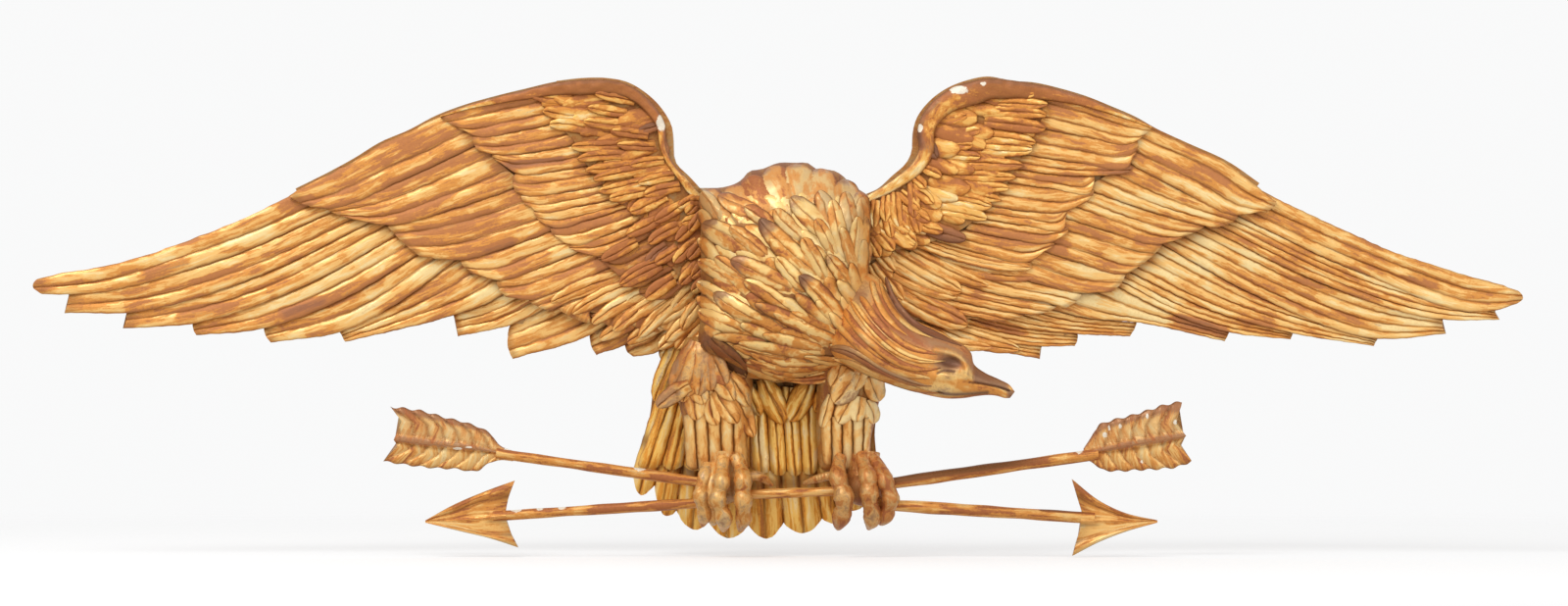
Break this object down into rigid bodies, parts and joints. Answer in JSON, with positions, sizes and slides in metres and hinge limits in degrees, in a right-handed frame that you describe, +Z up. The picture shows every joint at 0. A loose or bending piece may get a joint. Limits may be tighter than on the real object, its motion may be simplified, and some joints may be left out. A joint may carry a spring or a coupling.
{
  "type": "giltwood eagle wall plaque",
  "caption": "Carved and gilded wooden eagle with spread wings and lowered head, gripping crossed arrows in both feet, hung on a wall by rings on its back.",
  "frame": {"origin": "on the flat back of the body block, straight behind the breast, in the plane that rests on the wall", "axes": "+X to the viewer's right along the wings, +Y into the wall, +Z up"},
  "size_m": [1.3191, 0.1356, 0.4217],
  "materials": {
    "carved_gilt": "worn gold leaf over red-brown bole on carved wood",
    "worn_gilt": "gold leaf rubbed down to brown",
    "bare_wood": "plain pine, unfinished",
    "dark_iron": "dark iron, matt",
    "ring_steel": "dull steel wire"
  },
  "bodies": {
    "plaque": {"body_block": "carved_gilt", "neck_and_head": "carved_gilt", "left_flight_board": "carved_gilt", "left_covert_board": "carved_gilt", "left_shoulder_board": "carved_gilt", "right_flight_board": "carved_gilt", "right_covert_board": "carved_gilt", "right_shoulder_board": "carved_gilt", "tail_board": "carved_gilt", "left_thigh": "carved_gilt", "right_thigh": "carved_gilt", "left_arrowhead": "carved_gilt", "right_arrowhead": "carved_gilt", "left_fletching": "carved_gilt", "right_fletching": "carved_gilt", "left_foot": "worn_gilt", "right_foot": "worn_gilt", "grip_bar": "worn_gilt", "upper_left_shaft": "worn_gilt", "lower_left_shaft": "worn_gilt", "upper_right_shaft": "worn_gilt", "lower_right_shaft": "worn_gilt", "neck_dowel": "bare_wood", "left_upper_wing_dowel": "bare_wood", "left_lower_wing_dowel": "bare_wood", "right_upper_wing_dowel": "bare_wood", "right_lower_wing_dowel": "bare_wood", "left_ankle_dowel": "bare_wood", "right_ankle_dowel": "bare_wood", "left_back_strap": "dark_iron", "right_back_strap": "dark_iron", "left_hanger_plate": "dark_iron", "right_hanger_plate": "dark_iron", "left_strap_screw_1": "dark_iron", "left_strap_screw_2": "dark_iron", "left_strap_screw_3": "dark_iron", "left_strap_screw_4": "dark_iron", "right_strap_screw_1": "dark_iron", "right_strap_screw_2": "dark_iron", "right_strap_screw_3": "dark_iron", "right_strap_screw_4": "dark_iron", "left_hanger_screw_1": "dark_iron", "left_hanger_screw_2": "dark_iron", "right_hanger_screw_1": "dark_iron", "right_hanger_screw_2": "dark_iron", "tail_screw_1": "dark_iron", "tail_screw_2": "dark_iron", "tail_screw_3": "dark_iron", "tail_screw_4": "dark_iron"},
    "left_ring": {"left_hanging_ring": "ring_steel"},
    "right_ring": {"right_hanging_ring": "ring_steel"}
  },
  "joints": [
    {"name": "left_ring_swing", "type": "hinge", "parent": "plaque", "child": "left_ring", "pos_m": [-0.19198, -0.0054, 0.105], "axis": [0.9962, 0.0872, 0], "range_deg": [-2, 180]},
    {"name": "right_ring_swing", "type": "hinge", "parent": "plaque", "child": "right_ring", "pos_m": [0.19198, -0.0054, 0.105], "axis": [0.9962, -0.0872, 0], "range_deg": [-2, 180]}
  ]
}
